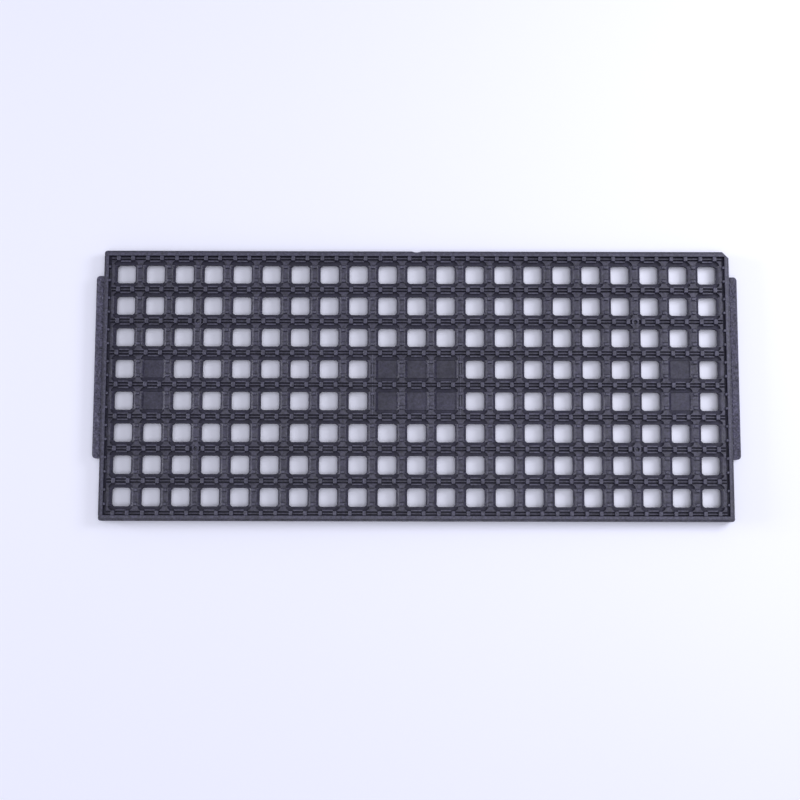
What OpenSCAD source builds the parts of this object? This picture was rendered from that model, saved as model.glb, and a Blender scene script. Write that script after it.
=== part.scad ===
// Matrix tray for small square components: one injection moulding, split here
// into its functional regions. Every region touches its neighbours face to face.
// X runs along the tray, Y across it, Z up. The origin is under the middle of
// the tray, on the plane that it rests on. All sizes are in millimetres.

/* [Outline] */
// Length of the body between the two end tabs
tray_l = 315; // [312:0.5:318]
// Width of the body
tray_w = 135.9; // [134:0.1:138]
// Overall height, to the top of the stacking rim and the posts
tray_h = 7.62; // [7.4:0.01:9]
// Height of the outer ledge that the next tray in a stack rests on
ledge_h = 6.35; // [6.1:0.05:6.6]
// Radius of the rounded body corners
corner_r = 1.2; // [0.8:0.1:2]
// Leg of the 45 degree chamfer that marks one corner
corner_cut = 3.2; // [1.5:0.1:3.4]

/* [Perimeter] */
// Width of the short end walls, ledge and rim together
wall_w = 2.4; // [2.1:0.1:2.6]
// Width of the long side walls, ledge and rim together
long_wall_w = 2.7; // [2.4:0.1:2.9]
// Width of the outer ledge
ledge_w = 1.1; // [0.9:0.1:1.3]
// Width of the locating notch in the long edge
notch_w = 4.6; // [3:0.1:6]
// Depth of the locating notch
notch_d = 0.6; // [0.3:0.1:0.8]

/* [End tabs] */
// How far each tab stands out from the end of the body
tab_reach = 3.8; // [3:0.1:5]
// Length of each tab along the end of the body
tab_len = 92.1; // [80:0.1:100]
// Distance of the tab's middle from the tray's middle
tab_shift = 9; // [0:0.5:15]
// Height of the tab's underside
tab_z = 1.6; // [0.5:0.1:3]
// Radius of the tab's outer corners
tab_r = 1.6; // [1:0.1:2.5]

/* [Pockets] */
// Distance between pocket columns
pitch_x = 14.66; // [14.6:0.01:14.7]
// Distance between pocket rows
pitch_y = 16.05; // [16:0.01:16.1]
// Side of the square window through each pocket floor
window = 9.2; // [8.8:0.1:9.6]
// Height of the pocket floors' underside
floor_z0 = 3.2; // [2.6:0.1:3.6]
// Height of the pocket floors
floor_z = 4.8; // [4.5:0.1:5.5]
// Width of a pocket between the tops of its sloping side walls
pocket_w = 12; // [11.4:0.1:12.2]

/* [Bars and posts] */
// Width of the row bar between two pockets
bar_w = 3.9; // [3.7:0.1:4.1]
// Width of the thin ridge along the middle of each row bar
ridge_w = 0.8; // [0.6:0.05:0.9]
// Width of the groove on each side of that ridge
groove_w = 0.65; // [0.5:0.05:0.7]
// Width of a row post along X
row_post_w = 1.95; // [1.7:0.05:2.1]
// Length of a row post along Y
row_post_l = 2.7; // [2.4:0.05:2.9]
// Distance of a row post from the pocket's middle
row_post_x = 3.575; // [3.5:0.025:3.65]
// Width of a column post along X
column_post_w = 2.1; // [1.8:0.05:2.4]
// Length of a column post along Y
column_post_l = 1.5; // [1.1:0.05:1.7]
// Distance of a column post from the pocket's middle
column_post_y = 3.5; // [3.3:0.05:3.7]

/* [Locating bosses] */
// Outer diameter of the round boss at four of the bar crossings
boss_d = 3.8; // [3.2:0.1:3.9]
// Diameter of the hole through the boss and the bar under it
boss_hole_d = 1.8; // [1.4:0.1:2.2]

/* [Hidden] */
$fn = 32;

columns = 21;
rows = 8;
inner_x = tray_l / 2 - wall_w;
inner_y = tray_w / 2 - long_wall_w;
mid_col = (columns + 1) / 2;
mid_row = (rows + 1) / 2;
deck_z = ledge_h;
half_win = window / 2;
half_pocket = pocket_w / 2;
gap_x = pitch_x - window;
gap_y = pitch_y - window;
last_x = (columns - 1) / 2 * pitch_x;
last_y = (rows - 1) / 2 * pitch_y;
land_t = ridge_w / 2 + groove_w;
crossing_w = pitch_x - 2 * row_post_x - row_post_w;
neck_w = pitch_x - pocket_w;
span_w = 2 * row_post_x - row_post_w;
edge_ridge_w = 0.8;
end_land_w = 1.3;
land_x0 = last_x + row_post_x + row_post_w / 2;
land_x1 = last_x + half_pocket + end_land_w;
end_post_w = 1.2;
border_w = 0.5;
border_h = 0.45;
land_flare = 0.35;
land_step = 0.5;
boss_col = 7.5;
boss_row = 2;
rib_w = 0.8;
rib_l = 4.4;
rib_z = 1.6;
rib_y = 5.4;

plastic = "#4b4a5c";
plastic_light = "#57566a";
plastic_dark = "#3c3b4c";

function col_x(c) = (c - mid_col) * pitch_x;
function row_y(r) = (mid_row - r) * pitch_y;

// Pads are the cells that have a closed floor instead of a window.
function in_center(c, r) = abs(c - mid_col) <= 1 && abs(r - mid_row) < 1;
function in_side(c, r) = abs(abs(c - mid_col) - 9) < 0.5 && abs(r - mid_row) < 1;
function is_boss(gx, gy) = abs(abs(gx) - boss_col) < 0.1 && abs(abs(gy) - boss_row) < 0.1;

// The body's outline, drawn in by inset from its outer edge.
module outline(inset) {
    l = tray_l - 2 * inset;
    w = tray_w - 2 * inset;
    cut = corner_cut - inset;
    difference() {
        union() {
            square([l - 2 * corner_r, w], center = true);
            square([l, w - 2 * corner_r], center = true);
            for (sx = [-1, 1], sy = [-1, 1])
                translate([sx * (l / 2 - corner_r), sy * (w / 2 - corner_r)])
                    circle(r = corner_r);
        }
        translate([l / 2, w / 2]) rotate(45)
            square([cut * sqrt(2), cut * sqrt(2)], center = true);
    }
}

// The part of the outline that lies beyond the inner face of one long wall.
module long_band(side, inset) {
    difference() {
        outline(inset);
        translate([-tray_l, side > 0 ? -tray_w : -inner_y])
            square([2 * tray_l, tray_w + inner_y]);
    }
}

// The part of the outline beyond the inner face of one short wall, between the long walls.
module short_band(side, inset) {
    intersection() {
        outline(inset);
        translate([side > 0 ? inner_x : -tray_l, -inner_y])
            square([tray_l - inner_x, 2 * inner_y]);
    }
}

module notch() {
    r = (notch_w * notch_w / 4 + notch_d * notch_d) / (2 * notch_d);
    translate([0, tray_w / 2 + r - notch_d, -1]) cylinder(r = r, h = ledge_h + 2, $fn = 96);
}

// A block given by its middle in X and Y, its size, and its lowest and highest Z.
module block(x, y, w, l, z0, z1) {
    translate([x - w / 2, y - l / 2, z0]) cube([w, l, z1 - z0]);
}

module skirt_wall_far() {
    color(plastic) difference() {
        linear_extrude(ledge_h) long_band(1, 0);
        notch();
    }
}

module skirt_wall_near() {
    color(plastic) linear_extrude(ledge_h) long_band(-1, 0);
}

module skirt_wall_left() {
    color(plastic) linear_extrude(ledge_h) short_band(-1, 0);
}

module skirt_wall_right() {
    color(plastic) linear_extrude(ledge_h) short_band(1, 0);
}

module stacking_rim(side, along) {
    color(plastic_light) translate([0, 0, ledge_h]) linear_extrude(tray_h - ledge_h)
        if (along) long_band(side, ledge_w);
        else short_band(side, ledge_w);
}

module stacking_rim_far() {
    stacking_rim(1, true);
}

module stacking_rim_near() {
    stacking_rim(-1, true);
}

module stacking_rim_left() {
    stacking_rim(-1, false);
}

module stacking_rim_right() {
    stacking_rim(1, false);
}

// A handling tab on one end, with rounded outer corners.
module end_tab(side) {
    color(plastic_light) translate([side * tray_l / 2, tab_shift, tab_z])
        linear_extrude(ledge_h - tab_z)
            union() {
                translate([side > 0 ? 0 : -(tab_reach - tab_r), -tab_len / 2])
                    square([tab_reach - tab_r, tab_len]);
                translate([side > 0 ? 0 : -tab_reach, -tab_len / 2 + tab_r])
                    square([tab_reach, tab_len - 2 * tab_r]);
                for (s = [-1, 1])
                    translate([side * (tab_reach - tab_r), s * (tab_len / 2 - tab_r)])
                        circle(r = tab_r);
            }
}

module end_tab_left() {
    end_tab(-1);
}

module end_tab_right() {
    end_tab(1);
}

// The long bars between the window rows, and the two that run beside the long walls.
module row_bars() {
    edge_w = inner_y - last_y - half_win;
    color(plastic) difference() {
        union() {
            for (r = [1 : rows - 1])
                block(0, row_y(r + 0.5), 2 * inner_x, gap_y, floor_z0, floor_z);
            for (s = [-1, 1])
                block(0, s * (inner_y - edge_w / 2), 2 * inner_x, edge_w, floor_z0, floor_z);
        }
        for (gx = [-1, 1] * boss_col, gy = [-1, 1] * boss_row)
            translate([gx * pitch_x, gy * pitch_y, floor_z0 - 1])
                cylinder(d = boss_hole_d, h = floor_z - floor_z0 + 2);
    }
}

// The short bars between two windows of a row, with sloping pocket walls on both sides.
module column_bars() {
    color(plastic)
        for (c = [1 : columns - 1], r = [1 : rows])
            translate([col_x(c + 0.5), row_y(r) + half_win, 0]) rotate([90, 0, 0])
                linear_extrude(window)
                    polygon([[-gap_x / 2, floor_z0], [gap_x / 2, floor_z0],
                             [gap_x / 2, floor_z], [neck_w / 2, deck_z],
                             [-neck_w / 2, deck_z], [-gap_x / 2, floor_z]]);
}

// The bars between the first or last window of a row and the end wall.
module end_bars() {
    x0 = last_x + half_win;
    x1 = last_x + half_pocket;
    color(plastic)
        for (s = [-1, 1], r = [1 : rows])
            translate([0, row_y(r) + half_win, 0]) rotate([90, 0, 0])
                linear_extrude(window)
                    polygon([[s * x0, floor_z0], [s * inner_x, floor_z0],
                             [s * inner_x, floor_z], [s * (x1 + end_land_w), floor_z],
                             [s * (x1 + end_land_w), deck_z], [s * x1, deck_z],
                             [s * x0, floor_z]]);
}

// One thin ridge along X, broken where the posts and the locating bosses stand.
module ridge_line(y, bosses) {
    for (c = [1 : columns])
        block(col_x(c), y, span_w, ridge_w, floor_z, deck_z);
    for (c = [1 : columns - 1])
        if (!(bosses && is_boss(c + 0.5 - mid_col, y / pitch_y)))
            block(col_x(c + 0.5), y, crossing_w, ridge_w, floor_z, deck_z);
    for (s = [-1, 1])
        block(s * (land_x0 + land_x1) / 2, y, land_x1 - land_x0, ridge_w, floor_z, deck_z);
}

module bar_ridges() {
    color(plastic)
        for (r = [1 : rows - 1]) ridge_line(row_y(r + 0.5), true);
}

// The inner half of a crossing: flush with the column bar, and wider towards the groove.
half_land = [[-neck_w / 2, gap_y / 2], [-neck_w / 2, bar_w / 2 + land_flare],
             [-crossing_w / 2, bar_w / 2 - land_step], [-crossing_w / 2, land_t]];

module crossing_land() {
    other_half = [for (i = [len(half_land) - 1 : -1 : 0]) [-half_land[i].x, half_land[i].y]];
    linear_extrude(deck_z - floor_z) polygon(concat(half_land, other_half));
}

// The land at the end of a row bar, cut off at the channel beside the end wall.
module end_land() {
    x = land_x1 - last_x - pitch_x / 2;
    linear_extrude(deck_z - floor_z)
        polygon(concat(half_land, [[x, land_t], [x, gap_y / 2]]));
}

module crossing_lands() {
    // Each bar has a land on each side that faces a pocket row.
    color(plastic)
        for (r = [0 : rows], s = [-1, 1])
            if (r + (1 - s) / 2 >= 1 && r + (1 - s) / 2 <= rows)
                translate([0, row_y(r + 0.5), floor_z]) mirror([0, s > 0 ? 0 : 1, 0]) {
                    for (c = [1 : columns - 1])
                        translate([col_x(c + 0.5), 0, 0]) difference() {
                            crossing_land();
                            if (is_boss(c + 0.5 - mid_col, mid_row - r - 0.5))
                                translate([0, 0, -1]) cylinder(d = boss_d, h = 4);
                        }
                    translate([last_x + pitch_x / 2, 0, 0]) end_land();
                    mirror([1, 0, 0]) translate([last_x + pitch_x / 2, 0, 0]) end_land();
                }
}

// The low ridges along the long sides of each pocket, between the posts.
module pocket_edge_ridges() {
    y = pitch_y / 2 - bar_w / 2 + edge_ridge_w / 2;
    color(plastic_light)
        for (c = [1 : columns], r = [1 : rows], s = [-1, 1])
            block(col_x(c), row_y(r) + s * y, span_w, edge_ridge_w, floor_z, deck_z);
}

// The ridges beside the long walls, which leave a narrow channel at the wall.
module edge_bar_ridges() {
    color(plastic)
        for (s = [-1, 1]) ridge_line(s * (last_y + pitch_y / 2), false);
}

module row_posts() {
    color(plastic_light)
        for (c = [1 : columns], r = [1 : rows - 1], s = [-1, 1])
            block(col_x(c) + s * row_post_x, row_y(r + 0.5), row_post_w, row_post_l,
                  floor_z, tray_h);
}

module column_posts() {
    color(plastic_light)
        for (c = [1 : columns - 1], r = [1 : rows], s = [-1, 1])
            block(col_x(c + 0.5), row_y(r) + s * column_post_y, column_post_w,
                  column_post_l, deck_z, tray_h);
}

// The posts that join a long wall's rim, at the place of the row posts.
module rim_posts(side) {
    y0 = last_y + pitch_y / 2 - row_post_l / 2;
    color(plastic_light)
        for (c = [1 : columns], s = [-1, 1])
            block(col_x(c) + s * row_post_x, side * (y0 + inner_y) / 2, row_post_w,
                  inner_y - y0, floor_z, tray_h);
}

module rim_posts_far() {
    rim_posts(1);
}

module rim_posts_near() {
    rim_posts(-1);
}

// The small posts on the inside of the end walls.
module end_posts() {
    color(plastic_light)
        for (side = [-1, 1], r = [1 : rows], s = [-1, 1])
            block(side * (inner_x - end_post_w / 2), row_y(r) + s * column_post_y,
                  end_post_w, column_post_l, floor_z, tray_h);
}

// The closed floors: a block of six cells in the middle, and two cells near each end.
module center_pad() {
    color(plastic_dark)
        for (c = [1 : columns], r = [1 : rows])
            if (in_center(c, r)) block(col_x(c), row_y(r), window, window, floor_z0, floor_z);
}

module side_pad(side) {
    color(plastic_dark)
        for (c = [1 : columns], r = [1 : rows])
            if (in_side(c, r) && side * (c - mid_col) > 0)
                block(col_x(c), row_y(r), window, window, floor_z0, floor_z);
}

module left_pad() {
    side_pad(-1);
}

module right_pad() {
    side_pad(1);
}

// The thin raised line down the two columns that bound the middle pad. It crosses the bars.
module pad_border() {
    long_l = 2 * column_post_y - column_post_l;
    short_l = pitch_y / 2 - land_t - column_post_y - column_post_l / 2;
    short_y = pitch_y / 2 - land_t - short_l / 2;
    color(plastic_light)
        for (side = [-1.5, 1.5]) {
            block(side * pitch_x, 0, border_w, ridge_w, deck_z, deck_z + border_h);
            for (r = [rows / 2, rows / 2 + 1]) {
                block(side * pitch_x, row_y(r), border_w, long_l, deck_z, deck_z + border_h);
                for (s = [-1, 1])
                    block(side * pitch_x, row_y(r) + s * short_y, border_w, short_l,
                          deck_z, deck_z + border_h);
            }
        }
}

module locating_bosses() {
    color(plastic_light)
        for (gx = [-1, 1] * boss_col, gy = [-1, 1] * boss_row)
            translate([gx * pitch_x, gy * pitch_y, floor_z])
                difference() {
                    cylinder(d = boss_d, h = deck_z - floor_z);
                    translate([0, 0, -1]) cylinder(d = boss_hole_d, h = deck_z - floor_z + 2);
                }
}

// The ribs under each pocket that hold down what lies in the tray below.
module hold_down_ribs() {
    color(plastic_dark)
        for (c = [1 : columns], r = [1 : rows], s = [-1, 1])
            block(col_x(c), row_y(r) + s * rib_y, rib_l, rib_w, rib_z, floor_z0);
}

skirt_wall_far();
skirt_wall_near();
skirt_wall_left();
skirt_wall_right();
stacking_rim_far();
stacking_rim_near();
stacking_rim_left();
stacking_rim_right();
end_tab_left();
end_tab_right();
row_bars();
column_bars();
end_bars();
bar_ridges();
crossing_lands();
pocket_edge_ridges();
edge_bar_ridges();
row_posts();
column_posts();
rim_posts_far();
rim_posts_near();
end_posts();
center_pad();
left_pad();
right_pad();
pad_border();
locating_bosses();
hold_down_ribs();
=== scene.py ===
"""A component matrix tray: one dark moulded plastic plate of square pockets, lying on a pale table."""

import math

import bmesh
import bpy
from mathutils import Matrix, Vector, noise


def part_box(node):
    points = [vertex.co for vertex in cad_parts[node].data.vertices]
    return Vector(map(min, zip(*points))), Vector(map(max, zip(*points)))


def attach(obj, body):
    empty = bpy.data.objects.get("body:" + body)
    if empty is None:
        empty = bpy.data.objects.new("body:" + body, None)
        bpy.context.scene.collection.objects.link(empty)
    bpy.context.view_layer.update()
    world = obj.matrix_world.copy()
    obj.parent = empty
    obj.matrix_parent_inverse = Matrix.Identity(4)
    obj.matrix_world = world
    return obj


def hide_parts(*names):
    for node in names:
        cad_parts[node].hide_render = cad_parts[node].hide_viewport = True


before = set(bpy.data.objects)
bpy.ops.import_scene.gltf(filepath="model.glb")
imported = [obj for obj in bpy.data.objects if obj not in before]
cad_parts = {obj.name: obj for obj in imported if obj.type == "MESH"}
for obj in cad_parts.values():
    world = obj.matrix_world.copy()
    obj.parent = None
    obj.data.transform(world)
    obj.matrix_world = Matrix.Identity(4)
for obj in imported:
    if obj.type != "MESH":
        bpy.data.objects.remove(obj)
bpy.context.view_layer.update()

# Pieces are built in millimetres and scaled to metres when they are finished.
MM = 0.001
COLUMNS, ROWS = 21, 8


def node_box(name):
    """The lowest and highest corner of a CAD node, in millimetres."""
    low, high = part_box(name)
    return low / MM, high / MM


# Driving sizes, read from the frame.
_, wall_hi = node_box("skirt_wall_near")
far_lo, far_hi = node_box("skirt_wall_far")
_, left_hi = node_box("skirt_wall_left")
_, rim_hi = node_box("stacking_rim_far")
bars_lo, bars_hi = node_box("row_bars")
_, column_hi = node_box("column_bars")
pad_lo, pad_hi = node_box("left_pad")
mid_lo, mid_hi = node_box("center_pad")

HALF_L, HALF_W = wall_hi.x, far_hi.y
INNER_X, INNER_Y = -left_hi.x, far_lo.y
LEDGE_Z, TOP_Z = wall_hi.z, rim_hi.z
FLOOR_Z0, FLOOR_Z, DECK_Z = bars_lo.z, bars_hi.z, column_hi.z
WINDOW = pad_hi.x - pad_lo.x
HALF_WIN = WINDOW / 2
PITCH_X = (mid_hi.x - mid_lo.x - WINDOW) / 2
PITCH_Y = mid_hi.y - mid_lo.y - WINDOW
GAP_X, GAP_Y = PITCH_X - WINDOW, PITCH_Y - WINDOW
LAST_X, LAST_Y = (COLUMNS - 1) / 2 * PITCH_X, (ROWS - 1) / 2 * PITCH_Y
RIM_OUT = HALF_W - rim_hi.y

# Perimeter.
CORNER_R, CORNER_CUT = 1.2, 3.2
NOTCH_W, NOTCH_D = 4.6, 0.6
TAB_R = 1.6

# Bars and ridges. A column bar slopes from the pockets up to its neck, and a groove runs on both sides
# of the ridge along a row bar.
POCKET_W = 12.0
NECK_W = PITCH_X - POCKET_W
BAR_W = 3.9
RIDGE_W, GROOVE_W = 0.8, 0.65
EDGE_RIDGE_W = 0.8

# Posts, and the grooves beside the column posts.
ROW_POST_W, ROW_POST_L, ROW_POST_X = 1.95, 2.7, 3.575
COLUMN_POST_W, COLUMN_POST_L, COLUMN_POST_Y = 2.1, 1.5, 3.5
END_POST_W = 1.2
POST_GROOVE_W, POST_GROOVE_D = 0.4, 0.45
SPAN_W = 2 * ROW_POST_X - ROW_POST_W
CROSSING_W = PITCH_X - 2 * ROW_POST_X - ROW_POST_W

# Crossing lands. A land's flare is given by its heights over the edge of the row bar where it starts,
# bends and ends, and by how far out it bends.
END_LAND_W = 1.3
LAND_X0 = LAST_X + ROW_POST_X + ROW_POST_W / 2
LAND_X1 = LAST_X + POCKET_W / 2 + END_LAND_W
LAND_T = RIDGE_W / 2 + GROOVE_W
FLARE_START, FLARE_BEND, FLARE_END = 0.45, 0.15, -0.5
FLARE_OUT = 0.2

# Blank pads, the raised line at both ends of the middle one, and the grooves beside that line.
END_PAD_COLUMN = 9
BORDER_X = 1.5 * PITCH_X
BORDER_W, BORDER_H = 0.5, 0.45
LINE_X0, LINE_X1 = 0.3, 0.85

# Locating bosses, and the ribs on the underside.
BOSS_D, BOSS_HOLE_D = 3.8, 1.8
BOSS_COL, BOSS_ROW = 7.5, 2
BOSS_PLACES = [(sx * BOSS_COL * PITCH_X, sy * BOSS_ROW * PITCH_Y) for sx in (-1, 1) for sy in (-1, 1)]
BOSS_ROUND, BOSS_KNEE, COUNTERSINK = 0.15, 0.045, 0.24
DRILL_DEPTH = 10
RIB_W, RIB_L, RIB_Y = 0.8, 4.4, 5.4

# The tabs' stipple. It starts a little below the flat top, so that its edge doesn't show.
STIPPLE_STEP, STIPPLE_HEIGHT = 0.24, 0.4
STIPPLE_GRAIN, STIPPLE_CONTRAST = 0.95, 1.3
STIPPLE_BORDER, STIPPLE_GAP = 0.55, 0.05
STIPPLE_SINK, STIPPLE_LIFT = 0.05, 0.01

# Rounded edges and drafts. They are finer than what the CAD frame holds.
WINDOW_R = 1.1
POST_DRAFT, RIDGE_DRAFT = 0.07, 0.04
ROUND_WALL, ROUND_RIM = 0.3, 0.22
ROUND_POST, ROUND_POST_CORNER = 0.2, 0.4
ROUND_BAR, ROUND_NECK, ROUND_RIDGE = 0.16, 0.256, 0.13
ROUND_LINE, ROUND_RIB = 0.12, 0.15

# How finely curves are cut, the angle in degrees above which an edge stays sharp, and the distance
# below which two points are one.
ARC_STEPS, NOTCH_STEPS = 5, 12
BOSS_STEPS, BOSS_CUT_STEPS, DRILL_STEPS = 40, 10, 32
SHARP_ANGLE = 50
MERGE = 1e-4


def col_x(c):
    """The middle of column c, counted from 1 at the left. A half number is the line between two."""
    return (c - (COLUMNS + 1) / 2) * PITCH_X


def row_y(r):
    """The middle of row r, counted from 1 at the far side. A half number is the line between two."""
    return ((ROWS + 1) / 2 - r) * PITCH_Y


def at(value, target):
    """True when two lengths are the same to a thousandth of a millimetre."""
    return abs(value - target) < 1e-3


def level_at(a, b, z):
    """True when both ends of an edge lie at height z."""
    return at(a.z, z) and at(b.z, z)


def is_blank(c, r):
    """True for a cell with a closed floor: six in the middle, and two near each end."""
    off_c, off_r = abs(c - (COLUMNS + 1) / 2), abs(r - (ROWS + 1) / 2)
    return off_r < 1 and (off_c <= 1 or off_c == END_PAD_COLUMN)


def is_boss(x, y):
    """True at the bar crossings that hold a locating boss."""
    return any(at(x, boss_x) and at(y, boss_y) for boss_x, boss_y in BOSS_PLACES)


# ---------------------------------------------------------------- mesh building


def close_up(bm, low, high):
    """Joins two matching rings of points with side faces, and closes both ends."""
    n = len(low)
    for i in range(n):
        j = (i + 1) % n
        bm.faces.new((low[i], low[j], high[j], high[i]))
    bm.faces.new(high)
    bm.faces.new(list(reversed(low)))


def prism(bm, outline, z0, z1):
    """A closed upright prism over an outline."""
    low = [bm.verts.new((x, y, z0)) for x, y in outline]
    high = [bm.verts.new((x, y, z1)) for x, y in outline]
    close_up(bm, low, high)


def block(bm, x, y, w, l, z0, z1, draft=0.0):
    """A block given by its middle, size and heights. Its top is smaller by draft on each side."""
    hw, hl = w / 2, l / 2
    corners = ((-1, -1), (1, -1), (1, 1), (-1, 1))
    low = [bm.verts.new((x + sx * hw, y + sy * hl, z0)) for sx, sy in corners]
    high = [bm.verts.new((x + sx * (hw - draft), y + sy * (hl - draft), z1)) for sx, sy in corners]
    close_up(bm, low, high)


def bar_along_y(bm, x, rings):
    """A bar along Y, lofted through rings. Each ring is a Y and a closed profile of (x, z) points."""
    loops = [[bm.verts.new((x + px, y, pz)) for px, pz in profile] for y, profile in rings]
    n = len(loops[0])
    for a, b in zip(loops, loops[1:]):
        for i in range(n):
            j = (i + 1) % n
            bm.faces.new((a[i], a[j], b[j], b[i]))
    bm.faces.new(list(reversed(loops[-1])))
    bm.faces.new(loops[0])


def arc(cx, cy, r, start, end, steps=ARC_STEPS):
    """Points along an arc, from start to end in degrees."""
    points = []
    for i in range(steps + 1):
        a = math.radians(start + (end - start) * i / steps)
        points.append((cx + r * math.cos(a), cy + r * math.sin(a)))
    return points


def round_edges(bm, radius, chosen, segments=2):
    """Rounds the edges that chosen accepts, given the edge's two end points.

    The rounded faces take the piece's second material, a lighter copy that paints a highlight along them."""
    edges = [e for e in bm.edges if chosen(e.verts[0].co, e.verts[1].co)]
    bmesh.ops.bevel(bm, geom=edges, offset=radius, offset_type="OFFSET", segments=segments,
                    profile=0.5, affect="EDGES", clamp_overlap=True, material=1)


def finish_piece(name, bm, materials, nodes):
    """Turns a bmesh in millimetres into a finished piece in metres that stands for the named nodes."""
    bmesh.ops.recalc_face_normals(bm, faces=bm.faces)
    bmesh.ops.scale(bm, vec=(MM, MM, MM), verts=bm.verts)
    mesh = bpy.data.meshes.new(name)
    for face in bm.faces:
        face.smooth = True
    bm.to_mesh(mesh)
    bm.free()
    mesh.set_sharp_from_angle(angle=math.radians(SHARP_ANGLE))
    piece = bpy.data.objects.new(name, mesh)
    bpy.context.scene.collection.objects.link(piece)
    for material in materials:
        mesh.materials.append(material)
    normals = piece.modifiers.new("even_normals", "WEIGHTED_NORMAL")
    normals.keep_sharp = True
    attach(piece, "root")
    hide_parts(*nodes)
    return piece


# ---------------------------------------------------------------- materials


# How fine each noise is: wide patches, small flecks, uneven gloss and the pits of the moulded grain.
PATCH_SCALE, FLECK_SCALE, SCUFF_SCALE, PIT_SCALE = 22.0, 900.0, 260.0, 3200.0
NOISE_RANGE = (0.32, 0.68)
GLOSS_SPREAD = 0.1
PIT_STRENGTH = 0.6
PLASTIC_IOR = 1.5


def plastic(name, tint, roughness, grain, mottling, fleck=0.5, shine=0.5):
    """Matte conductive plastic: soft mottling, fine moulded grain, and uneven gloss.

    grain is the height of the moulded grain. mottling and fleck are how far the tint varies over wide
    patches and over small spots. shine is the strength of the highlights."""
    material = bpy.data.materials.new(name)
    material.use_nodes = True
    tree = material.node_tree
    shader = tree.nodes["Principled BSDF"]
    place = tree.nodes.new("ShaderNodeTexCoord")

    def spots(scale, detail, rough=0.55):
        """Noise that is fixed to the piece."""
        node = tree.nodes.new("ShaderNodeTexNoise")
        node.inputs["Scale"].default_value = scale
        node.inputs["Detail"].default_value = detail
        node.inputs["Roughness"].default_value = rough
        tree.links.new(place.outputs["Object"], node.inputs["Vector"])
        return node.outputs["Fac"]

    def ramp(source, low, high):
        """Stretches the usual range of a noise from low to high."""
        node = tree.nodes.new("ShaderNodeValToRGB")
        low_stop, high_stop = node.color_ramp.elements
        low_stop.position, high_stop.position = NOISE_RANGE
        low_stop.color, high_stop.color = (*low, 1), (*high, 1)
        tree.links.new(source, node.inputs["Fac"])
        return node.outputs["Color"]

    def shade(factor):
        return tuple(c * factor for c in tint)

    def grey(value):
        return (value,) * 3

    patches = spots(PATCH_SCALE, detail=3.0)
    flecks = spots(FLECK_SCALE, detail=4.0, rough=0.7)
    mix = tree.nodes.new("ShaderNodeMix")
    mix.data_type = "RGBA"
    mix.blend_type = "MULTIPLY"
    mix.inputs["Factor"].default_value = 1.0
    tree.links.new(ramp(patches, shade(1 - mottling), shade(1 + mottling)), mix.inputs["A"])
    tree.links.new(ramp(flecks, grey(1 - fleck), grey(1 + fleck)), mix.inputs["B"])
    tree.links.new(mix.outputs["Result"], shader.inputs["Base Color"])

    scuffs = spots(SCUFF_SCALE, detail=5.0, rough=0.65)
    gloss = ramp(scuffs, grey(roughness + GLOSS_SPREAD), grey(roughness - GLOSS_SPREAD))
    tree.links.new(gloss, shader.inputs["Roughness"])

    bump = tree.nodes.new("ShaderNodeBump")
    bump.inputs["Strength"].default_value = PIT_STRENGTH
    bump.inputs["Distance"].default_value = grain * MM
    tree.links.new(spots(PIT_SCALE, detail=3.0, rough=0.6), bump.inputs["Height"])
    tree.links.new(bump.outputs["Normal"], shader.inputs["Normal"])
    shader.inputs["IOR"].default_value = PLASTIC_IOR
    shader.inputs["Specular IOR Level"].default_value = shine
    return material


BODY = plastic("tray_plastic", (0.034, 0.031, 0.054),
               roughness=0.50, grain=0.08, mottling=0.12, fleck=0.75)
# A lighter, glossier copy for rounded edges: a painted highlight along them.
BODY_EDGE_HIGHLIGHT = plastic("tray_plastic_edge_highlight", (0.043, 0.040, 0.067),
                    roughness=0.40, grain=0.03, mottling=0.10, fleck=0.7)
# A darker, less shiny copy for the low bars round the windows: painted shade in the pockets.
POCKET_PAINTED_SHADE = plastic("pocket_plastic_painted_shade", (0.020, 0.018, 0.036),
              roughness=0.55, grain=0.04, mottling=0.12, fleck=0.4, shine=0.3)
# Its rounded edges: still painted shade, a little lighter as a painted highlight.
POCKET_EDGE_SHADE_AND_HIGHLIGHT = plastic("pocket_plastic_edge_shade_and_highlight", (0.023, 0.021, 0.040),
                   roughness=0.50, grain=0.02, mottling=0.10, fleck=0.4, shine=0.3)
# A lighter copy for the posts, rims, pocket ridges, bosses and pad line: painted light on the raised tops.
RAISED_PAINTED_LIGHT = plastic("post_plastic_painted_light", (0.046, 0.043, 0.072),
               roughness=0.46, grain=0.06, mottling=0.10, fleck=0.7)
# Its rounded edges: a stronger painted highlight.
RAISED_EDGE_HIGHLIGHT = plastic("post_plastic_edge_highlight", (0.056, 0.053, 0.086),
                    roughness=0.38, grain=0.03, mottling=0.10)
# A darker copy for the closed pads: painted shade in their recess. The wide mottling is real.
PAD_PAINTED_SHADE = plastic("pad_plastic_painted_shade", (0.028, 0.0255, 0.046),
                roughness=0.50, grain=0.03, mottling=0.35, shine=0.4)
TAB = plastic("tab_plastic", (0.052, 0.048, 0.081),
              roughness=0.55, grain=0.10, mottling=0.12, fleck=0.85)
# The tab's rounded edges: a lighter copy, a painted highlight.
TAB_EDGE_HIGHLIGHT = plastic("tab_plastic_edge_highlight", (0.058, 0.054, 0.088),
                   roughness=0.45, grain=0.05, mottling=0.10)


# ---------------------------------------------------------------- perimeter


def chamfer_points(inset):
    """The corner chamfer's two ends on the outline drawn in by inset, and where it meets INNER_Y."""
    hl, hw, cut = HALF_L - inset, HALF_W - inset, CORNER_CUT - inset
    return (hl - cut, hw), (hl, hw - cut), (hl - cut + hw - INNER_Y, INNER_Y)


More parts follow.
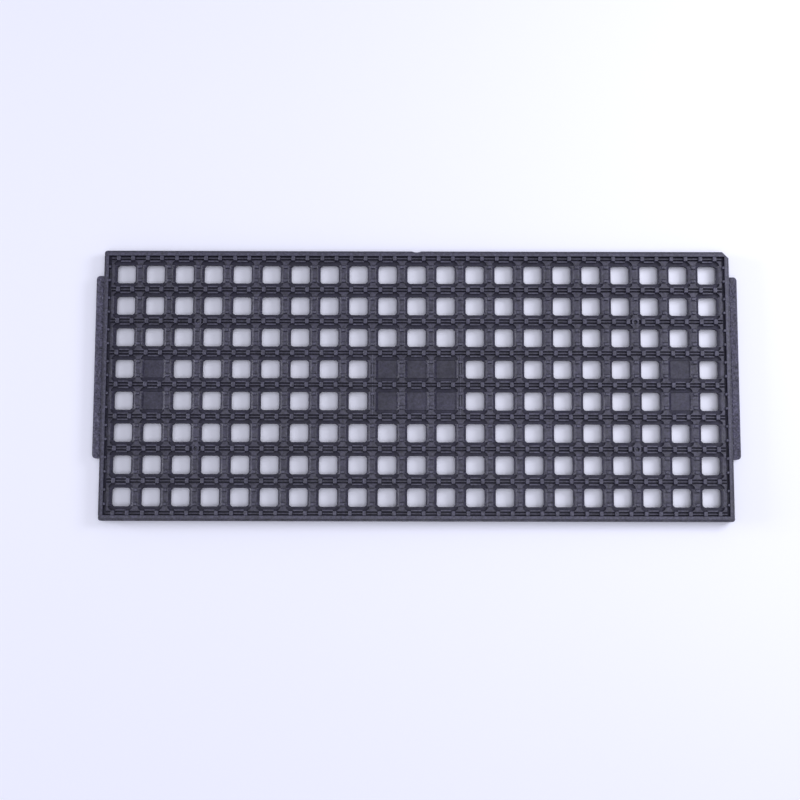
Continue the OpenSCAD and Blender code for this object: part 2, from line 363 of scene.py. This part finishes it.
def long_outline(inset, far):
    """A long wall's outline drawn in by inset, counter-clockwise.

    The far wall has the notch and the chamfer."""
    hl, hw, r = HALF_L - inset, HALF_W - inset, CORNER_R
    path = [(-hl, INNER_Y)] + arc(-hl + r, hw - r, r, 180, 90)
    if not far:
        path += arc(hl - r, hw - r, r, 90, 0) + [(hl, INNER_Y)]
        return [(x, -y) for x, y in path]
    if inset == 0:
        notch_r = (NOTCH_W ** 2 / 4 + NOTCH_D ** 2) / (2 * NOTCH_D)
        spread = math.degrees(math.asin(NOTCH_W / 2 / notch_r))
        path += arc(0, hw + notch_r - NOTCH_D, notch_r, 270 - spread, 270 + spread, NOTCH_STEPS)
    start, _, meet = chamfer_points(inset)
    return list(reversed(path + [start, meet]))


def short_outline(inset, side):
    """A short wall's outline drawn in by inset, counter-clockwise. The right wall shares the chamfer."""
    outer = HALF_L - inset
    if side < 0:
        return [(-outer, -INNER_Y), (-INNER_X, -INNER_Y), (-INNER_X, INNER_Y), (-outer, INNER_Y)]
    _, end, meet = chamfer_points(inset)
    return [(INNER_X, -INNER_Y), (outer, -INNER_Y), end, meet, (INNER_X, INNER_Y)]


def make_wall(side, outline_at, inner_axis):
    """One side of the perimeter: the wall with its ledge, and the stepped rim on it.

    inner_axis is 0 or 1: the axis along which the side faces into the tray."""
    inner = (INNER_X, INNER_Y)[inner_axis]

    def across(a, b):
        """True for the edges where a short side meets a long one."""
        return at(abs(a.y), INNER_Y) and at(abs(b.y), INNER_Y)

    def wall_edge(a, b):
        """True for the level edges on the outside of the tray."""
        inside = at(abs(a[inner_axis]), inner) and at(abs(b[inner_axis]), inner)
        return at(a.z, b.z) and not inside and not across(a, b)

    def rim_edge(a, b):
        """True for the top edges, but not where a short side's rim meets a long one."""
        return level_at(a, b, TOP_Z) and not (inner_axis == 0 and across(a, b))

    bm = bmesh.new()
    prism(bm, outline_at(0), 0, LEDGE_Z)
    round_edges(bm, ROUND_WALL, wall_edge)
    finish_piece(f"wall_{side}", bm, (BODY, BODY_EDGE_HIGHLIGHT), [f"skirt_wall_{side}"])

    bm = bmesh.new()
    prism(bm, outline_at(RIM_OUT), LEDGE_Z, TOP_Z)
    round_edges(bm, ROUND_RIM, rim_edge)
    # The rim takes the lighter plastic: painted light on its top.
    finish_piece(f"rim_{side}", bm, (RAISED_PAINTED_LIGHT, RAISED_EDGE_HIGHLIGHT), [f"stacking_rim_{side}"])


def make_walls():
    """All four sides of the perimeter."""
    make_wall("far", lambda inset: long_outline(inset, True), 1)
    make_wall("near", lambda inset: long_outline(inset, False), 1)
    make_wall("left", lambda inset: short_outline(inset, -1), 0)
    make_wall("right", lambda inset: short_outline(inset, 1), 0)


def add_stipple(bm, sign, x0, y0, w, l, flat_z):
    """A closed sheet of fine uneven bumps on a tab's flat top."""
    nx, ny = round(w / STIPPLE_STEP), round(l / STIPPLE_STEP)
    grid = []
    for j in range(ny + 1):
        line = []
        for i in range(nx + 1):
            x, y = sign * (x0 + w * i / nx), y0 + l * j / ny
            lift = 0.5 + STIPPLE_CONTRAST * noise.noise(Vector((x, y, 0)) * STIPPLE_GRAIN)
            z = flat_z + STIPPLE_LIFT + (STIPPLE_HEIGHT - STIPPLE_LIFT) * max(0.0, min(1.0, lift))
            if i in (0, nx) or j in (0, ny):
                z = flat_z - STIPPLE_SINK
            line.append(bm.verts.new((x, y, z)))
        grid.append(line)
    for j in range(ny):
        for i in range(nx):
            bm.faces.new((grid[j][i], grid[j][i + 1], grid[j + 1][i + 1], grid[j + 1][i]))
    rim = grid[0] + [grid[j][nx] for j in range(1, ny + 1)]
    rim += [grid[ny][i] for i in range(nx - 1, -1, -1)] + [grid[j][0] for j in range(ny - 1, 0, -1)]
    bm.faces.new(rim)


def make_tab(sign, side):
    """An end tab whose top carries a moulded stipple inside a plain border."""
    low, high = node_box(f"end_tab_{side}")
    flat_z = high.z - STIPPLE_HEIGHT
    x_in, x_out = (low.x, high.x) if sign > 0 else (-high.x, -low.x)
    outline = [(x_in, low.y)] + arc(x_out - TAB_R, low.y + TAB_R, TAB_R, -90, 0)
    outline += arc(x_out - TAB_R, high.y - TAB_R, TAB_R, 0, 90) + [(x_in, high.y)]
    outline = [(sign * x, y) for x, y in (outline if sign > 0 else reversed(outline))]

    def outer_edge(a, b):
        """True for the level edges, but not along the wall."""
        return at(a.z, b.z) and not (at(abs(a.x), x_in) and at(abs(b.x), x_in))

    bm = bmesh.new()
    prism(bm, outline, low.z, flat_z)
    round_edges(bm, ROUND_WALL, outer_edge)
    add_stipple(bm, sign, x_in + STIPPLE_GAP, low.y + STIPPLE_BORDER, x_out - x_in - STIPPLE_BORDER,
                high.y - low.y - 2 * STIPPLE_BORDER, flat_z)
    finish_piece(f"tab_{side}", bm, (TAB, TAB_EDGE_HIGHLIGHT), [f"end_tab_{side}"])


# ---------------------------------------------------------------- lattice


def window_side(y, r, facing):
    """The side of a row bar along the windows of row r, from left to right.

    facing is 1 where the windows lie beyond the bar in +Y, and -1 where they lie beyond it in -Y.
    Each window has round corners, so the bar widens between them by the corner radius."""
    tooth = y + facing * WINDOW_R
    points = [(-INNER_X, tooth)]
    for c in range(1, COLUMNS + 1):
        x0, x1 = col_x(c) - HALF_WIN, col_x(c) + HALF_WIN
        if is_blank(c, r):
            points += [(x0, tooth), (x0, y), (x1, y), (x1, tooth)]
        elif facing > 0:
            points += arc(x0 + WINDOW_R, tooth, WINDOW_R, 180, 270)
            points += arc(x1 - WINDOW_R, tooth, WINDOW_R, 270, 360)
        else:
            points += arc(x0 + WINDOW_R, tooth, WINDOW_R, 180, 90)
            points += arc(x1 - WINDOW_R, tooth, WINDOW_R, 90, 0)
    points.append((INNER_X, tooth))
    return points


def make_row_bars():
    """The long bars between the window rows and beside the long walls, drilled at the bosses."""
    bm = bmesh.new()
    teeth = []
    for r in range(ROWS + 1):
        y_up = row_y(r) - HALF_WIN if r > 0 else INNER_Y
        y_down = row_y(r + 1) + HALF_WIN if r < ROWS else -INNER_Y
        lower = [(-INNER_X, y_down), (INNER_X, y_down)]
        upper = [(-INNER_X, y_up), (INNER_X, y_up)]
        if r < ROWS:
            lower = window_side(y_down, r + 1, -1)
        if r > 0:
            upper = window_side(y_up, r, 1)
        teeth += [lower[0][1], upper[0][1]]
        prism(bm, lower + list(reversed(upper)), FLOOR_Z0, FLOOR_Z)

    def window_edge(a, b):
        """True for the level edges round a window, but not where the bar meets other regions."""
        at_ends = at(abs(a.x), INNER_X) and at(abs(b.x), INNER_X)
        return at(a.z, b.z) and not at_ends and not any(at(a.y, t) and at(b.y, t) for t in teeth)

    round_edges(bm, ROUND_BAR, window_edge)
    # The low bars take the darker plastic: painted shade round the windows.
    bars = finish_piece("row_bars_visual", bm, (POCKET_PAINTED_SHADE, POCKET_EDGE_SHADE_AND_HIGHLIGHT), ["row_bars"])
    drill(bars)


def drill(piece):
    """Cuts the locating holes through a piece and keeps the result as its mesh."""
    bm = bmesh.new()
    for x, y in BOSS_PLACES:
        made = bmesh.ops.create_cone(bm, cap_ends=True, segments=DRILL_STEPS, radius1=BOSS_HOLE_D / 2,
                                     radius2=BOSS_HOLE_D / 2, depth=DRILL_DEPTH)
        bmesh.ops.translate(bm, vec=(x, y, FLOOR_Z0), verts=made["verts"])
    bmesh.ops.scale(bm, vec=(MM, MM, MM), verts=bm.verts)
    mesh = bpy.data.meshes.new("drills")
    bm.to_mesh(mesh)
    bm.free()
    tool = bpy.data.objects.new("drills", mesh)
    bpy.context.scene.collection.objects.link(tool)
    cut = piece.modifiers.new("holes", "BOOLEAN")
    cut.operation = "DIFFERENCE"
    cut.object = tool
    cut.solver = "EXACT"
    piece.modifiers.move(len(piece.modifiers) - 1, 0)
    graph = bpy.context.evaluated_depsgraph_get()
    result = bpy.data.meshes.new_from_object(piece.evaluated_get(graph), depsgraph=graph)
    piece.modifiers.clear()
    piece.data = result
    bpy.data.objects.remove(tool)
    bpy.data.meshes.remove(mesh)


def is_bordered(x, r):
    """True for the column bars that carry the line at the ends of the middle pad."""
    return at(abs(x), BORDER_X) and abs(row_y(r)) < PITCH_Y


def column_profile(bottom, top):
    """A column bar's outline over its sloping sides.

    top is the list of (x, z) points along its top, or None where a groove crosses it."""
    g, n = GAP_X / 2, NECK_W / 2
    low_z = DECK_Z - POST_GROOVE_D
    low_x = n + (g - n) * POST_GROOVE_D / (DECK_Z - FLOOR_Z)
    top = top or [(low_x, low_z), (-low_x, low_z)]
    right, left = [(g, FLOOR_Z), (low_x, low_z)], [(-low_x, low_z), (-g, FLOOR_Z)]
    return [(-g, bottom), (g, bottom)] + right + top + left


def make_column_bars():
    """Short bars with sloping pocket walls and a groove on the inner and outer side of each post.

    Under the window corners they give way to the row bars."""
    n, line_z = NECK_W / 2, DECK_Z - POST_GROOVE_D
    plain = [(n, DECK_Z), (-n, DECK_Z)]
    right = [(n, DECK_Z), (LINE_X1, DECK_Z), (LINE_X1, line_z), (LINE_X0, line_z), (LINE_X0, DECK_Z)]
    lined = right + [(-x, z) for x, z in reversed(right)]
    post_in, post_out = COLUMN_POST_Y - COLUMN_POST_L / 2, COLUMN_POST_Y + COLUMN_POST_L / 2
    groove_in = post_in - POST_GROOVE_W
    reach = HALF_WIN - WINDOW_R
    # Each station is a distance from the bar's middle, and the bar's underside and top there.
    stations = ((groove_in, FLOOR_Z0, plain), (groove_in, FLOOR_Z0, None), (post_in, FLOOR_Z0, None),
                (post_in, FLOOR_Z0, plain), (reach, FLOOR_Z0, plain), (reach, FLOOR_Z, plain),
                (post_out, FLOOR_Z, plain), (post_out, FLOOR_Z, None), (HALF_WIN, FLOOR_Z, None))
    lined_stations = ((reach, FLOOR_Z0, lined), (reach, FLOOR_Z, lined), (HALF_WIN, FLOOR_Z, lined))

    def neck_edge(a, b):
        """True for the long edges where the sloping sides meet the top."""
        off = abs((a.x / PITCH_X) % 1 - 0.5) * PITCH_X
        return level_at(a, b, DECK_Z) and at(a.x, b.x) and at(off, NECK_W / 2)

    bm = bmesh.new()
    for c in range(1, COLUMNS):
        x = col_x(c + 0.5)
        for r in range(1, ROWS + 1):
            half = lined_stations if is_bordered(x, r) else stations
            rings = [(row_y(r) - y, column_profile(bottom, top)) for y, bottom, top in reversed(half)]
            rings += [(row_y(r) + y, column_profile(bottom, top)) for y, bottom, top in half]
            bar_along_y(bm, x, rings)
    bmesh.ops.remove_doubles(bm, verts=bm.verts, dist=MERGE)
    round_edges(bm, ROUND_NECK, neck_edge)
    finish_piece("column_bars_visual", bm, (BODY, BODY_EDGE_HIGHLIGHT), ["column_bars"])


def make_end_bars():
    """The bars beside the end walls, with a narrow channel at the wall."""
    x0, x1 = LAST_X + HALF_WIN, LAST_X + POCKET_W / 2
    x2 = x1 + END_LAND_W
    full = [(x0, FLOOR_Z0), (INNER_X, FLOOR_Z0), (INNER_X, FLOOR_Z), (x2, FLOOR_Z),
            (x2, DECK_Z), (x1, DECK_Z), (x0, FLOOR_Z)]
    upper = [(min(x, x2), max(z, FLOOR_Z)) for x, z in full]
    reach = HALF_WIN - WINDOW_R
    stations = ((-HALF_WIN, upper), (-reach, upper), (-reach, full),
                (reach, full), (reach, upper), (HALF_WIN, upper))
    bm = bmesh.new()
    for r in range(1, ROWS + 1):
        for sign in (-1, 1):
            rings = [(row_y(r) + y, [(sign * x, z) for x, z in profile]) for y, profile in stations]
            bar_along_y(bm, 0, rings)
    bmesh.ops.remove_doubles(bm, verts=bm.verts, dist=MERGE)
    bmesh.ops.dissolve_degenerate(bm, edges=bm.edges, dist=MERGE)
    round_edges(bm, ROUND_BAR, lambda a, b: level_at(a, b, DECK_Z) and at(a.x, b.x))
    finish_piece("end_bars_visual", bm, (BODY, BODY_EDGE_HIGHLIGHT), ["end_bars"])


def make_ridges(node, lines, with_bosses):
    """Thin ridges along X on the given lines, broken where the posts and the bosses stand."""
    bm = bmesh.new()
    for y in lines:
        for c in range(1, COLUMNS + 1):
            block(bm, col_x(c), y, SPAN_W, RIDGE_W, FLOOR_Z, DECK_Z, RIDGE_DRAFT)
        for c in range(1, COLUMNS):
            x = col_x(c + 0.5)
            if not (with_bosses and is_boss(x, y)):
                block(bm, x, y, CROSSING_W, RIDGE_W, FLOOR_Z, DECK_Z, RIDGE_DRAFT)
        for sign in (-1, 1):
            block(bm, sign * (LAND_X0 + LAND_X1) / 2, y, LAND_X1 - LAND_X0, RIDGE_W,
                  FLOOR_Z, DECK_Z, RIDGE_DRAFT)
    round_edges(bm, ROUND_RIDGE, lambda a, b: level_at(a, b, DECK_Z) and at(a.y, b.y))
    finish_piece(f"{node}_visual", bm, (BODY, BODY_EDGE_HIGHLIGHT), [node])


def half_land():
    """The left half of a crossing, from the column bar's end to the groove: it flares towards the groove."""
    n, w, edge = NECK_W / 2, CROSSING_W / 2, BAR_W / 2
    return [(-n, GAP_Y / 2), (-n, edge + FLARE_START), (-n - FLARE_OUT, edge + FLARE_BEND),
            (-w, edge + FLARE_END), (-w, LAND_T)]


def land_outline(with_boss):
    """A crossing's outline above the groove, counter-clockwise, cut out round a boss."""
    left = half_land()
    right = [(-x, y) for x, y in reversed(left)]
    if not with_boss:
        return left + right
    reach = math.sqrt((BOSS_D / 2) ** 2 - LAND_T ** 2)
    start = math.degrees(math.atan2(LAND_T, reach))
    return left + arc(0, 0, BOSS_D / 2, 180 - start, start, BOSS_CUT_STEPS) + right


def end_land_outline():
    """The land at the end of a row bar, cut off at the channel beside the end wall."""
    x = LAND_X1 - LAST_X - PITCH_X / 2
    return half_land() + [(x, LAND_T), (x, GAP_Y / 2)]


def make_crossing_lands():
    """The flush areas at every bar crossing and at both ends of every bar."""
    bm = bmesh.new()
    joints = set()
    for r in range(ROWS + 1):
        y = row_y(r + 0.5)
        for side in (-1, 1):
            if (r == 0 and side > 0) or (r == ROWS and side < 0):
                continue
            middles = [col_x(c + 0.5) for c in range(1, COLUMNS)]
            shapes = [(x, 1, land_outline(is_boss(x, y))) for x in middles]
            shapes += [(s * (LAST_X + PITCH_X / 2), s, end_land_outline()) for s in (-1, 1)]
            for x, flip, shape in shapes:
                prism(bm, [(x + flip * px, y + side * py) for px, py in shape], FLOOR_Z, DECK_Z)
            joints.add(round(y + side * GAP_Y / 2, 3))

    def open_edge(a, b):
        """True for the top edges, but not where a land meets a column bar."""
        return level_at(a, b, DECK_Z) and not (at(a.y, b.y) and round(a.y, 3) in joints)

    round_edges(bm, ROUND_BAR, open_edge, segments=1)
    finish_piece("crossing_lands_visual", bm, (BODY, BODY_EDGE_HIGHLIGHT), ["crossing_lands"])


def make_edge_ridges():
    """The low ridge along both long sides of every pocket."""
    bm = bmesh.new()
    off = PITCH_Y / 2 - BAR_W / 2 + EDGE_RIDGE_W / 2
    for c in range(1, COLUMNS + 1):
        for r in range(1, ROWS + 1):
            for sign in (-1, 1):
                block(bm, col_x(c), row_y(r) + sign * off, SPAN_W, EDGE_RIDGE_W, FLOOR_Z, DECK_Z)
    round_edges(bm, ROUND_BAR, lambda a, b: level_at(a, b, DECK_Z) and at(a.y, b.y))
    # The ridges take the lighter plastic: painted light on their tops.
    finish_piece("pocket_ridges_visual", bm, (RAISED_PAINTED_LIGHT, RAISED_EDGE_HIGHLIGHT), ["pocket_edge_ridges"])


# ---------------------------------------------------------------- posts, pads and bosses


def make_posts(node, places, w, l, z0):
    """Posts with a slight draft, and rounded tops and corners."""
    bm = bmesh.new()
    for x, y in places:
        block(bm, x, y, w, l, z0, TOP_Z, POST_DRAFT)
    round_edges(bm, ROUND_POST_CORNER, lambda a, b: not at(a.z, b.z), segments=3)
    round_edges(bm, ROUND_POST, lambda a, b: level_at(a, b, TOP_Z))
    # The posts take the lighter plastic: painted light on their tops.
    finish_piece(f"{node}_visual", bm, (RAISED_PAINTED_LIGHT, RAISED_EDGE_HIGHLIGHT), [node])


def make_all_posts():
    """The posts on the row bars, on the column bars, and at the long and the short walls."""
    columns, rows = range(1, COLUMNS + 1), range(1, ROWS + 1)
    signs = (-1, 1)
    on_rows = [(col_x(c) + s * ROW_POST_X, row_y(r + 0.5)) for c in columns for r in rows[:-1] for s in signs]
    make_posts("row_posts", on_rows, ROW_POST_W, ROW_POST_L, FLOOR_Z)
    between = [(col_x(c + 0.5), row_y(r) + s * COLUMN_POST_Y)
               for c in columns[:-1] for r in rows for s in signs]
    make_posts("column_posts", between, COLUMN_POST_W, COLUMN_POST_L, DECK_Z - POST_GROOVE_D)
    y0 = LAST_Y + PITCH_Y / 2 - ROW_POST_L / 2
    for sign, side in ((1, "far"), (-1, "near")):
        at_wall = [(col_x(c) + s * ROW_POST_X, sign * (y0 + INNER_Y) / 2) for c in columns for s in signs]
        make_posts(f"rim_posts_{side}", at_wall, ROW_POST_W, INNER_Y - y0, FLOOR_Z)
    at_ends = [(side * (INNER_X - END_POST_W / 2), row_y(r) + s * COLUMN_POST_Y)
               for side in signs for r in rows for s in signs]
    make_posts("end_posts", at_ends, END_POST_W, COLUMN_POST_L, FLOOR_Z)


def make_pads():
    """The closed flat floors of the blank cells: one piece in the middle, and one near each end."""
    for node, inside in (("center_pad", lambda x: abs(x) < 2 * PITCH_X),
                         ("left_pad", lambda x: x < -2 * PITCH_X),
                         ("right_pad", lambda x: x > 2 * PITCH_X)):
        bm = bmesh.new()
        for c in range(1, COLUMNS + 1):
            for r in range(1, ROWS + 1):
                if is_blank(c, r) and inside(col_x(c)):
                    block(bm, col_x(c), row_y(r), WINDOW, WINDOW, FLOOR_Z0, FLOOR_Z)
        # The pads take the darker plastic: painted shade.
        finish_piece(f"{node}_visual", bm, (PAD_PAINTED_SHADE, BODY_EDGE_HIGHLIGHT), [node])


def make_pad_border():
    """The thin raised line down both ends of the middle pad, broken at the posts and the grooves."""
    bm = bmesh.new()
    top = DECK_Z + BORDER_H
    inner = 2 * COLUMN_POST_Y - COLUMN_POST_L
    outer = PITCH_Y / 2 - LAND_T - COLUMN_POST_Y - COLUMN_POST_L / 2
    outer_y = PITCH_Y / 2 - LAND_T - outer / 2
    for x in (-BORDER_X, BORDER_X):
        block(bm, x, 0, BORDER_W, RIDGE_W - 2 * RIDGE_DRAFT, DECK_Z, top)
        for y in (-PITCH_Y / 2, PITCH_Y / 2):
            block(bm, x, y, BORDER_W, inner, DECK_Z, top)
            for s in (-1, 1):
                block(bm, x, y + s * outer_y, BORDER_W, outer, DECK_Z, top)
    round_edges(bm, ROUND_LINE, lambda a, b: level_at(a, b, top) and at(a.x, b.x))
    # The line takes the lightest plastic: painted light on its top.
    finish_piece("pad_border_visual", bm, (RAISED_EDGE_HIGHLIGHT, RAISED_EDGE_HIGHLIGHT), ["pad_border"])


def make_bosses():
    """Round bosses turned from a profile, with a rounded rim and a small countersink."""
    r0, r1 = BOSS_HOLE_D / 2, BOSS_D / 2
    profile = [(r0, FLOOR_Z), (r1, FLOOR_Z), (r1, DECK_Z - BOSS_ROUND),
               (r1 - BOSS_KNEE, DECK_Z - BOSS_KNEE), (r1 - BOSS_ROUND, DECK_Z),
               (r0 + COUNTERSINK, DECK_Z), (r0, DECK_Z - COUNTERSINK)]
    bm = bmesh.new()
    for x, y in BOSS_PLACES:
        rings = []
        for i in range(BOSS_STEPS):
            a = 2 * math.pi * i / BOSS_STEPS
            rings.append([bm.verts.new((x + p * math.cos(a), y + p * math.sin(a), z)) for p, z in profile])
        for i in range(BOSS_STEPS):
            first, second = rings[i], rings[(i + 1) % BOSS_STEPS]
            for k in range(len(profile)):
                m = (k + 1) % len(profile)
                bm.faces.new((first[k], second[k], second[m], first[m]))
    # The bosses take the lighter plastic: painted light on their tops.
    finish_piece("locating_bosses_visual", bm, (RAISED_PAINTED_LIGHT, RAISED_EDGE_HIGHLIGHT), ["locating_bosses"])


def make_ribs():
    """The ribs on the underside."""
    low, high = node_box("hold_down_ribs")
    bm = bmesh.new()
    for c in range(1, COLUMNS + 1):
        for r in range(1, ROWS + 1):
            for s in (-1, 1):
                block(bm, col_x(c), row_y(r) + s * RIB_Y, RIB_L, RIB_W, low.z, high.z)
    round_edges(bm, ROUND_RIB, lambda a, b: not level_at(a, b, high.z))
    finish_piece("hold_down_ribs_visual", bm, (BODY, BODY_EDGE_HIGHLIGHT), ["hold_down_ribs"])


# ---------------------------------------------------------------- stage, light and camera


# The stage, the lights and the camera are in metres, watts and radians, and the lens in millimetres.
COOL = (0.89, 0.905, 1.0)
ROOM_STRENGTH = 0.32
TABLE_HALF = 3.0
TABLE_TINT = (0.90, 0.90, 0.98)
TABLE_ROUGHNESS = 0.8
CAMERA_PLACE = (-0.0081, -0.0810, 0.6724)
CAMERA_TILT = 0.1097
CAMERA_TURN = 0.0022
CAMERA_LENS = 60.42


def make_stage():
    """A plain pale table."""
    bm = bmesh.new()
    bmesh.ops.create_grid(bm, x_segments=1, y_segments=1, size=TABLE_HALF)
    mesh = bpy.data.meshes.new("table_top")
    bm.to_mesh(mesh)
    bm.free()
    table = bpy.data.objects.new("table_top", mesh)
    bpy.context.scene.collection.objects.link(table)
    material = bpy.data.materials.new("pale_table")
    material.use_nodes = True
    shader = material.node_tree.nodes["Principled BSDF"]
    shader.inputs["Base Color"].default_value = (*TABLE_TINT, 1)
    shader.inputs["Roughness"].default_value = TABLE_ROUGHNESS
    mesh.materials.append(material)


def area_light(name, place, size, power):
    """A soft square light that points at the middle of the tray."""
    data = bpy.data.lights.new(name, "AREA")
    data.shape = "SQUARE"
    data.size = size
    data.energy = power
    data.color = COOL
    lamp = bpy.data.objects.new(name, data)
    lamp.location = place
    lamp.rotation_mode = "QUATERNION"
    lamp.rotation_quaternion = (-Vector(place)).to_track_quat("-Z", "Y")
    bpy.context.scene.collection.objects.link(lamp)


def make_lights():
    """A dim pale room, one large softbox high overhead, and a smaller one low on each side."""
    world = bpy.data.worlds.new("studio")
    bpy.context.scene.world = world
    world.use_nodes = True
    background = world.node_tree.nodes["Background"]
    background.inputs["Color"].default_value = (*COOL, 1)
    background.inputs["Strength"].default_value = ROOM_STRENGTH
    area_light("softbox_over", place=(0.10, -0.22, 1.96), size=1.6, power=20.5)
    area_light("softbox_right", place=(0.45, 0.16, 0.42), size=0.25, power=1.6)
    area_light("softbox_left", place=(-1.50, 0.1, 0.34), size=0.7, power=14.5)


def make_camera():
    """The camera looks almost straight down, from a little in front of the tray."""
    data = bpy.data.cameras.new("camera")
    data.sensor_width = 36.0
    data.lens = CAMERA_LENS
    data.clip_start, data.clip_end = 0.01, 20.0
    camera = bpy.data.objects.new("camera", data)
    camera.location = CAMERA_PLACE
    camera.rotation_euler = (CAMERA_TILT, 0.0, CAMERA_TURN)
    bpy.context.scene.collection.objects.link(camera)
    bpy.context.scene.camera = camera


make_camera()
make_lights()
make_stage()
make_walls()
make_tab(-1, "left")
make_tab(1, "right")
make_row_bars()
make_column_bars()
make_end_bars()
make_ridges("bar_ridges", [row_y(r + 0.5) for r in range(1, ROWS)], True)
make_ridges("edge_bar_ridges", [row_y(0.5), row_y(ROWS + 0.5)], False)
make_crossing_lands()
make_edge_ridges()
make_all_posts()
make_pads()
make_pad_border()
make_bosses()
make_ribs()

bpy.context.scene.view_settings.view_transform = "Standard"
